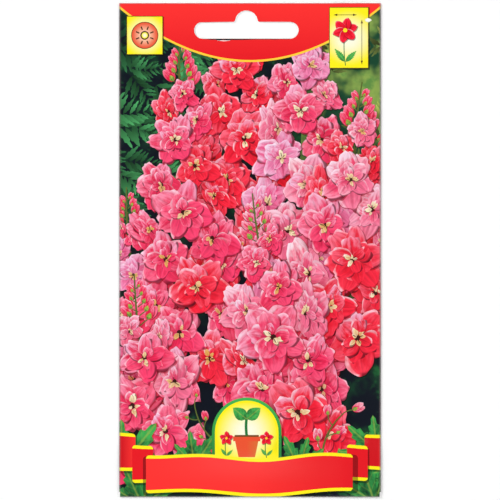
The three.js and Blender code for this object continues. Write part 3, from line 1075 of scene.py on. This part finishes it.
def write_print(mesh, art, corners, triangles, upper, shadows):
    """Writes each shape's inks, own coordinates and shade on the printed faces."""
    numbers = {finish: number for number, finish in enumerate(FINISHES, 1)}

    def of_each(look):
        """What a face gets from its shape."""
        return np.array([look(shape) for shape in art.shapes])[upper]

    def store(name, kind, domain, field, values, blank):
        """The printed faces come first. The bare ones after them get a blank value."""
        every = np.full((len(mesh.polygons), *values.shape[1:]), blank, values.dtype)
        every[: len(values)] = values
        mesh.attributes.new(name, kind, domain).data.foreach_set(field, every.ravel())

    turns = of_each(lambda shape: shape.place)
    own = np.einsum("fij,fkj->fki", turns[:, :, :2], corners[triangles]) + turns[:, None, :, 2]
    seeds = np.repeat(of_each(lambda shape: shape.seed), 3).reshape(-1, 3, 1)
    layers = of_each(lambda shape: shape.layer) + 1
    shade = soft_shade(corners, art.domes)[triangles, layers[:, None]]
    shade *= (SHADOW_TONE**shadows)[:, None]
    ink_light = of_each(lambda shape: (*shape.ink, shape.light[0]))
    glow_light = of_each(lambda shape: (*shape.glow, shape.light[1]))

    store("ink", "FLOAT_COLOR", "FACE", "color", ink_light, 1)
    store("glow", "FLOAT_COLOR", "FACE", "color", glow_light, 1)
    store("finish", "INT", "FACE", "value", of_each(lambda shape: numbers.get(shape.finish, 0)), 0)
    store("place", "FLOAT_VECTOR", "CORNER", "vector", np.concatenate([own, seeds], axis=2), 0)
    store("shade", "FLOAT", "CORNER", "value", shade, 1)


def mark_rim(mesh, rim, below):
    """Keeps the cut edges of the paper sharp."""
    cut = {tuple(sorted(pair)) for pair in rim.tolist()}
    cut |= {tuple(sorted((below[a], below[b]))) for a, b in rim.tolist()}
    for edge in mesh.edges:
        if tuple(sorted(edge.vertices)) in cut:
            edge.use_edge_sharp = True


# ---- folding ----

FOLD_SIZES = {
    "Paper": PAPER,
    "Layer": LAYER,
    "Left crease": LEFT_CREASE,
    "Left fold radius": LEFT_FOLD,
    "Right crease": RIGHT_CREASE,
    "Right fold radius": RIGHT_FOLD,
    "Bottom edge": BOTTOM,
    "Side step start": SIDE_STEP_START,
    "Side step end": SIDE_STEP_END,
    "Bottom step start": BOTTOM_STEP_START,
    "Bottom step end": BOTTOM_STEP_END,
    "Pocket bottom": FIRST_ROW,
    "Pocket rise": POCKET_RISE,
    "Pocket fall": POCKET_FALL,
    "Seal line": SEAL_LINE,
    "Bulge": BULGE,
    "Ripple": 0.16,
}


def fold(past, radius):
    """Round a fold: how far out a point lies, how far it drops, and the angle it has turned by."""
    angle = past.most(0).least(radius * pi) / radius
    out = radius * angle.sin() - (past - radius * pi).most(0)
    drop = radius - radius * angle.cos()
    return out, drop, angle


def folding_tree(paper, prints):
    """A geometry node tree that folds the flat sheet round the pocket."""
    tree = bpy.data.node_groups.new("fold_round_pocket", "GeometryNodeTree")
    tree.interface.new_socket("Geometry", in_out="INPUT", socket_type="NodeSocketGeometry")
    for name in FOLD_SIZES:
        tree.interface.new_socket(name, in_out="INPUT", socket_type="NodeSocketFloat")
    tree.interface.new_socket("Geometry", in_out="OUTPUT", socket_type="NodeSocketGeometry")
    nodes = Nodes(tree)
    flat = nodes.add("NodeGroupInput")
    size = {s.name: Value(nodes, s) for s in flat.socket.node.outputs if s.name in FOLD_SIZES}

    s, t, w = nodes.parts(nodes.add("GeometryNodeInputPosition"))
    x_flat = s.most(size["Left crease"]).least(size["Right crease"])
    on_side_flap = nodes.ramp(x_flat, size["Side step start"], size["Side step end"])
    bottom_radius = size["Layer"] * (1 + on_side_flap * 0.5)
    bottom_crease = size["Bottom edge"] + size["Paper"] / 2 + bottom_radius
    y_flat = t.most(bottom_crease)

    right_out, right_drop, right_angle = fold(s - size["Right crease"], size["Right fold radius"])
    left_out, left_drop, left_angle = fold(size["Left crease"] - s, size["Left fold radius"])
    low_out, low_drop, low_angle = fold(bottom_crease - t, bottom_radius)

    x = x_flat + right_out - left_out + w * (right_angle.sin() - left_angle.sin())
    y = y_flat - low_out - w * low_angle.sin()

    on_bottom_flap = 1 - nodes.ramp(y_flat, size["Bottom step start"], size["Bottom step end"])
    behind = left_angle.above(pi / 2)
    lifted_behind = behind * nodes.ramp(x, size["Side step start"], size["Side step end"])
    layers = on_bottom_flap + on_side_flap + lifted_behind + 1

    across = 1 - (x_flat / size["Right crease"]) ** 2
    pocket_top = size["Pocket bottom"] + size["Pocket rise"]
    rise = nodes.ramp(y_flat, size["Pocket bottom"], pocket_top, smooth=True)
    fall_start = size["Seal line"] - size["Pocket fall"]
    fall = nodes.ramp(y_flat, fall_start, size["Seal line"], smooth=True)
    pocket = across.most(0) * rise * (1 - fall)
    creases = nodes.noise(nodes.vector(x_flat, y_flat, 0.0), 34.0, 1.5)
    puff = pocket * (size["Bulge"] + (creases - 0.5) * size["Ripple"] * 4)

    drops = right_drop + left_drop + low_drop
    turned_over = right_angle + left_angle + low_angle
    z = size["Paper"] / 2 + size["Layer"] * layers + puff - drops + w * turned_over.cos()

    sockets = {"Geometry": flat, "Position": nodes.vector(x, y, z)}
    whole = nodes.add("GeometryNodeSetPosition", sockets)
    whole = nodes.add("GeometryNodeRealizeInstances", {0: whole})
    whole = nodes.add("GeometryNodeSetMaterial", {"Geometry": whole, "Material": paper})
    finish = nodes.add("GeometryNodeInputNamedAttribute", {"Name": "finish"}, data_type="INT")
    equal = {"data_type": "INT", "operation": "EQUAL"}
    for number, printed in enumerate(prints, 1):
        chosen = nodes.add("FunctionNodeCompare", {2: finish, 3: number}, **equal)
        sockets = {"Geometry": whole, "Selection": chosen, "Material": printed}
        whole = nodes.add("GeometryNodeSetMaterial", sockets)
    nodes.add("NodeGroupOutput", {0: whole})
    return tree


def folded(sheet, tree):
    """The folded sheet as a plain mesh."""
    modifier = sheet.modifiers.new("fold", "NODES")
    modifier.node_group = tree
    for socket in tree.interface.items_tree:
        if socket.name in FOLD_SIZES:
            modifier[socket.identifier] = FOLD_SIZES[socket.name] * MM
    graph = bpy.context.evaluated_depsgraph_get()
    mesh = bpy.data.meshes.new_from_object(sheet.evaluated_get(graph), depsgraph=graph)
    sheet.modifiers.clear()
    sheet.data = mesh
    return sheet


# ---- finishes ----

SIDE_SHADE_AND_WEAR, END_SHADE = 0.7, 0.35  # how far in from its sides and ends the ink greys with painted shade; the side band also gets worn white scuffs


def material(finish):
    """A material, named after the function that adds its nodes."""
    made = bpy.data.materials.new(finish.__name__)
    made.use_nodes = True
    made.node_tree.nodes.clear()
    finish(Nodes(made.node_tree))
    return made


def coated(nodes, colour, depths=(1, 1, 1)):
    """Coated paper under an ink: a smooth face, faint fibres, soft gloss, worn scuffs and painted
    shade at folds and ends.

    The ink darkens under what is drawn in front of it. Depths say how fast each of its colours does.
    """
    place = nodes.on_piece()
    fibres = nodes.noise(place, 2600, 3, 0.6)
    waves = nodes.noise(place, 150)
    shade = nodes.read("shade", "Fac")
    tint = nodes.vector(*[shade**depth for depth in depths])
    printed = nodes.add("ShaderNodeVectorMath", {0: colour, 1: tint}, operation="MULTIPLY")
    printed = nodes.brighten(printed, 0.97 + fibres * 0.06)
    x, y, _ = nodes.parts(place)
    at_side = nodes.ramp(abs(x), (HALF_WIDTH - SIDE_SHADE_AND_WEAR) * MM, HALF_WIDTH * MM, smooth=True)
    at_end = nodes.ramp(abs(y), (TOP - END_SHADE) * MM, TOP * MM, smooth=True)
    # painted shade: the ink greys towards the folds at the sides and the top and bottom edges
    printed = nodes.mix(at_side.most(at_end) * 0.6, printed, FOLD_SHADE_GREY)
    scuffs = nodes.noise(place, 1400, 4, 0.7)
    worn = nodes.ramp(at_side * 0.3 + scuffs, 0.9, 1.0, smooth=True)
    colour = nodes.mix(worn * 0.7, printed, PAPER_WHITE)
    roughness = 0.33 + (fibres - 0.5) * 0.12 + worn * 0.3
    bump = nodes.bump(fibres * 0.25 + waves, 0.25, 0.00008)
    nodes.surface(colour, roughness, {"Specular IOR Level": 0.22, "Normal": bump})


def bare_paper(nodes):
    """White uncoated paper, as on the inside and the cut edges of the sheet."""
    fibres = nodes.noise(nodes.on_piece(), 1800, 4, 0.65)
    colour = nodes.mix(fibres, ink("efece6"), PAPER_WHITE)
    bump = nodes.bump(fibres, 0.3, 0.00005)
    nodes.surface(colour, 0.75 + fibres * 0.15, {"Normal": bump})


def flat_ink(nodes):
    """A flat tint that may run into another along the shape."""
    run = nodes.ramp(nodes.on_shape()[0], 0, 1)
    coated(nodes, nodes.mix(run, nodes.read("ink"), nodes.read("glow")))


def round_ink(nodes):
    """A tint that glows in the middle of its shape."""
    u, v, _ = nodes.on_shape()
    away = nodes.ramp((u * u + v * v).root(), 0.1, 1, smooth=True)
    coated(nodes, nodes.mix(away, nodes.read("glow"), nodes.read("ink")))


def petal_ink(nodes):
    """A petal: deep at its base, pale towards its margin, with a bright and a dark edge."""
    u, v, seed = nodes.on_shape()
    spread = v / petal_half_width(u.most(0.02).least(0.98))
    crumple = nodes.noise(nodes.vector(u * 2.6, v * 1.6, seed), 1.2, 3, 0.55)
    folds = nodes.noise(nodes.vector(u * 0.9, spread * 2.6, seed + 9), 1.4, 3, 0.6)
    bright = u * 0.75 + abs(spread) * 0.2 + (crumple - 0.5) * 1.4 + (folds - 0.5) * 0.9
    pale = nodes.ramp(bright, 0.22, 0.95, smooth=True)
    colour = nodes.mix(pale, nodes.read("glow"), nodes.read("ink"))
    along = nodes.read("ink", "Alpha") * 2 - 1
    across = nodes.read("glow", "Alpha") * 2 - 1
    facing = (u * 2 - 1) * along + spread * across
    edge = abs(spread).most(u * u)
    lit_edge = nodes.ramp(edge, 0.74, 0.98, smooth=True) * nodes.ramp(facing, 0.0, 0.9)
    dark_edge = nodes.ramp(edge, 0.8, 1.0, smooth=True) * nodes.ramp(-1 * facing, 0.0, 0.8)
    colour = nodes.mix(lit_edge * nodes.ramp(crumple, 0.2, 0.7) * 0.8, colour, RIM_LIGHT)
    veins = ((spread * 15 + (crumple - 0.5) * 7).sin() + 1) / 2
    crease = 1 - nodes.ramp(abs(spread + (folds - 0.5) * 0.3), 0.0, 0.14, smooth=True)
    marks = (crease * 0.3 + veins * 0.14) * nodes.ramp(u, 1, 0.4) + dark_edge * 0.8
    colour = nodes.mix(marks.least(1), colour, WINE)
    tone = 0.72 + nodes.ramp(folds, 0.3, 0.7) * 0.2 + nodes.ramp(u, 0, 0.45, smooth=True) * 0.16
    coated(nodes, nodes.brighten(colour, tone), depths=(0.5, 1.5, 1.3))


def leaf_ink(nodes):
    """A leaf: a pale rib down its middle and side veins that slant to the edge."""
    u, v, seed = nodes.on_shape()
    off = abs(v)
    blotches = nodes.noise(nodes.vector(u * 2, v, seed), 1.6, 3, 0.6)
    young = nodes.ramp(blotches + u * 0.3, 0.35, 0.85, smooth=True)
    colour = nodes.mix(young, nodes.read("glow"), nodes.read("ink"))
    rib = 1 - nodes.ramp(off, 0.03, 0.14, smooth=True)
    veins = ((u * 34 - off * 9).sin() - 0.55).most(0) * 0.9
    colour = nodes.mix((rib * 0.35 + veins * 0.25).least(1), colour, LEAF_YELLOW)
    tone = 0.75 + blotches * 0.5 - nodes.ramp(v, 0, 1) * 0.12
    coated(nodes, nodes.brighten(colour, tone))


def distant_ink(nodes):
    """Foliage out of focus: dark gaps, soft green blurs and a few light spots."""
    place = nodes.on_piece()
    blur = nodes.noise(place, 90, 3, 0.55)
    spots = nodes.noise(place, 320, 2, 0.6)
    near = nodes.ramp(blur, 0.45, 0.65, smooth=True)
    colour = nodes.mix(near, nodes.read("glow"), nodes.read("ink"))
    green = nodes.ramp(blur * 0.6 + spots * 0.5, 0.58, 0.74, smooth=True)
    coated(nodes, nodes.mix(green * 0.6, colour, LEAF_MID))


def seed_coat(nodes):
    """The dull brown coat of a seed, wrinkled across its length."""
    place = nodes.on_piece()
    wrinkles = nodes.noise(place, 4200, 4, 0.6)
    patches = nodes.noise(place, 700)
    brown = nodes.ramp(wrinkles + patches * 0.5, 0.5, 1.0)
    colour = nodes.mix(brown, ink("150e0a"), ink("5a4634"))
    nodes.surface(colour, 0.7 + wrinkles * 0.2, {"Normal": nodes.bump(wrinkles, 0.8, 0.0001)})


def white_table(nodes):
    grain = nodes.noise(nodes.on_piece(), 30)
    nodes.surface(nodes.mix(grain, ink("fdfdfd"), ink("ffffff")), 0.9)


# the finish of each kind of printed shape
FINISHES = {
    "flat": flat_ink,
    "round": round_ink,
    "petal": petal_ink,
    "leaf": leaf_ink,
    "distance": distant_ink,
}

# ---- the packet ----


def slot_outline(middle, lift=0.0, mirrored=1):
    """The hang slot: a bar with round ends and a crown over its middle, all of arcs."""
    half = SLOT_BAR / 2
    end = SLOT_WIDTH / 2 - half
    flare_at = sqrt((SLOT_CROWN_RADIUS + SLOT_FLARE) ** 2 - SLOT_FLARE**2)
    touch = atan2(SLOT_FLARE, flare_at)

    arcs = [  # middle, radius, first and last angle
        (end, 0, half, -pi / 2, pi / 2),
        (flare_at, half + SLOT_FLARE, SLOT_FLARE, -pi / 2, touch - pi),
        (0, half, SLOT_CROWN_RADIUS, touch, pi - touch),
        (-flare_at, half + SLOT_FLARE, SLOT_FLARE, -touch, -pi / 2),
        (-end, 0, half, pi / 2, 3 * pi / 2),
    ]
    outline = []
    for x, y, radius, start, stop in arcs:
        for angle in np.linspace(start, stop, SLOT_ARC_POINTS)[1 if outline else 0 :]:
            outline.append((x + radius * cos(angle), y + radius * sin(angle)))
    return np.array(outline) * (mirrored, 1) + (middle, TOP - SLOT_TO_TOP - half + lift)


def front_border():
    left = [(LEFT_CUT, TOP), (LEFT_CUT, FIRST_ROW), (LEFT_CREASE, FIRST_ROW)]
    foot = [(LEFT_CREASE, BOTTOM_CUT), (RIGHT_CREASE, BOTTOM_CUT)]
    right = [(RIGHT_CREASE, FIRST_ROW), (RIGHT_CUT, FIRST_ROW), (RIGHT_CUT, TOP)]
    return np.array(left + foot + right)


def back_borders():
    """The back panel, the side flap and the bottom flap, each up to the middle of its fold."""
    panel = box(BACK_END, FIRST_ROW, LEFT_CUT, TOP)
    side_flap = box(RIGHT_CUT, FIRST_ROW, SIDE_END, TOP)
    taper = FLAP_TAPER * WIDTH / 2
    left = [(LEFT_CREASE, BOTTOM_CUT), (LEFT_CREASE + taper, BOTTOM_END)]
    right = [(RIGHT_CREASE - taper, BOTTOM_END), (RIGHT_CREASE, BOTTOM_CUT)]
    return [panel, side_flap, np.array(left + right)]


def packet_front(tree):
    art = Artwork(seed=7)
    for add_print in (add_picture, add_header, add_sun_sign, add_size_sign, add_ribbon, add_slot_shade_and_scuff):
        add_print(art)
    slot = slot_outline(SLOT_OFFSET)
    return folded(build_sheet("packet_front", art, [front_border()], [slot]), tree)


def packet_back(tree):
    art = Artwork(seed=5)
    add_back_print(art)
    slot = slot_outline(BACK_MIDDLE - SLOT_OFFSET, BACK_SLOT_SHIFT, mirrored=-1)
    return folded(build_sheet("packet_back", art, back_borders(), [slot]), tree)


# ---- the studio, in metres ----

TABLE_HALF = 3
TABLE_GAP = 0.00004  # keeps the table's face from fighting with the paper's
VIEW_WIDTH = 0.15302


def soft_light(name, place, size, power):
    data = bpy.data.lights.new(name, "AREA")
    data.energy = power
    data.size = size
    light = placed(name, data)
    light.location = place
    light.rotation_euler = (-Vector(place)).to_track_quat("-Z", "Y").to_euler()
    light.visible_camera = False


def sky():
    """A pale horizon under a darker ceiling, so that the gloss doesn't lift the dark inks."""
    world = bpy.data.worlds.new("studio")
    bpy.context.scene.world = world
    world.use_nodes = True
    world.node_tree.nodes.clear()
    nodes = Nodes(world.node_tree)
    upwards = nodes.parts(nodes.add("ShaderNodeTexCoord", output="Generated"))[2]
    sockets = {"Color": (1, 1, 1, 1), "Strength": 0.75 - nodes.ramp(upwards, 0.0, 0.8) * 0.6}
    nodes.add("ShaderNodeOutputWorld", {"Surface": nodes.add("ShaderNodeBackground", sockets)})


def camera_above():
    camera = bpy.data.cameras.new("camera")
    camera.lens = 200
    camera.sensor_width = 36
    holder = placed("camera", camera)
    holder.location = (0, 0, camera.lens / camera.sensor_width * VIEW_WIDTH)
    bpy.context.scene.camera = holder


def table_top():
    corners = box(-TABLE_HALF, -TABLE_HALF, TABLE_HALF, TABLE_HALF).tolist()
    mesh = bpy.data.meshes.new("table_top")
    mesh.from_pydata([(*corner, -TABLE_GAP) for corner in corners], [], [(0, 1, 2, 3)])
    mesh.materials.append(material(white_table))
    placed("table_top", mesh)


bpy.context.scene.view_settings.view_transform = "Standard"
sky()
soft_light("left_light", (-1.2, 0.9, 1.5), 0.7, 22)
soft_light("right_light", (1.4, 0.5, 1.5), 1.0, 14)
soft_light("low_light", (-0.2, -1.5, 1.5), 1.0, 14)
camera_above()
table_top()

folding = folding_tree(material(bare_paper), [material(finish) for finish in FINISHES.values()])
for piece in (packet_front(folding), packet_back(folding)):
    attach(piece, "root")
    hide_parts("packet_sheet")

coat = material(seed_coat)
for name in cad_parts:
    if name.startswith("seed_"):
        for material_slot in bpy.data.objects[name].material_slots:
            material_slot.material = coat
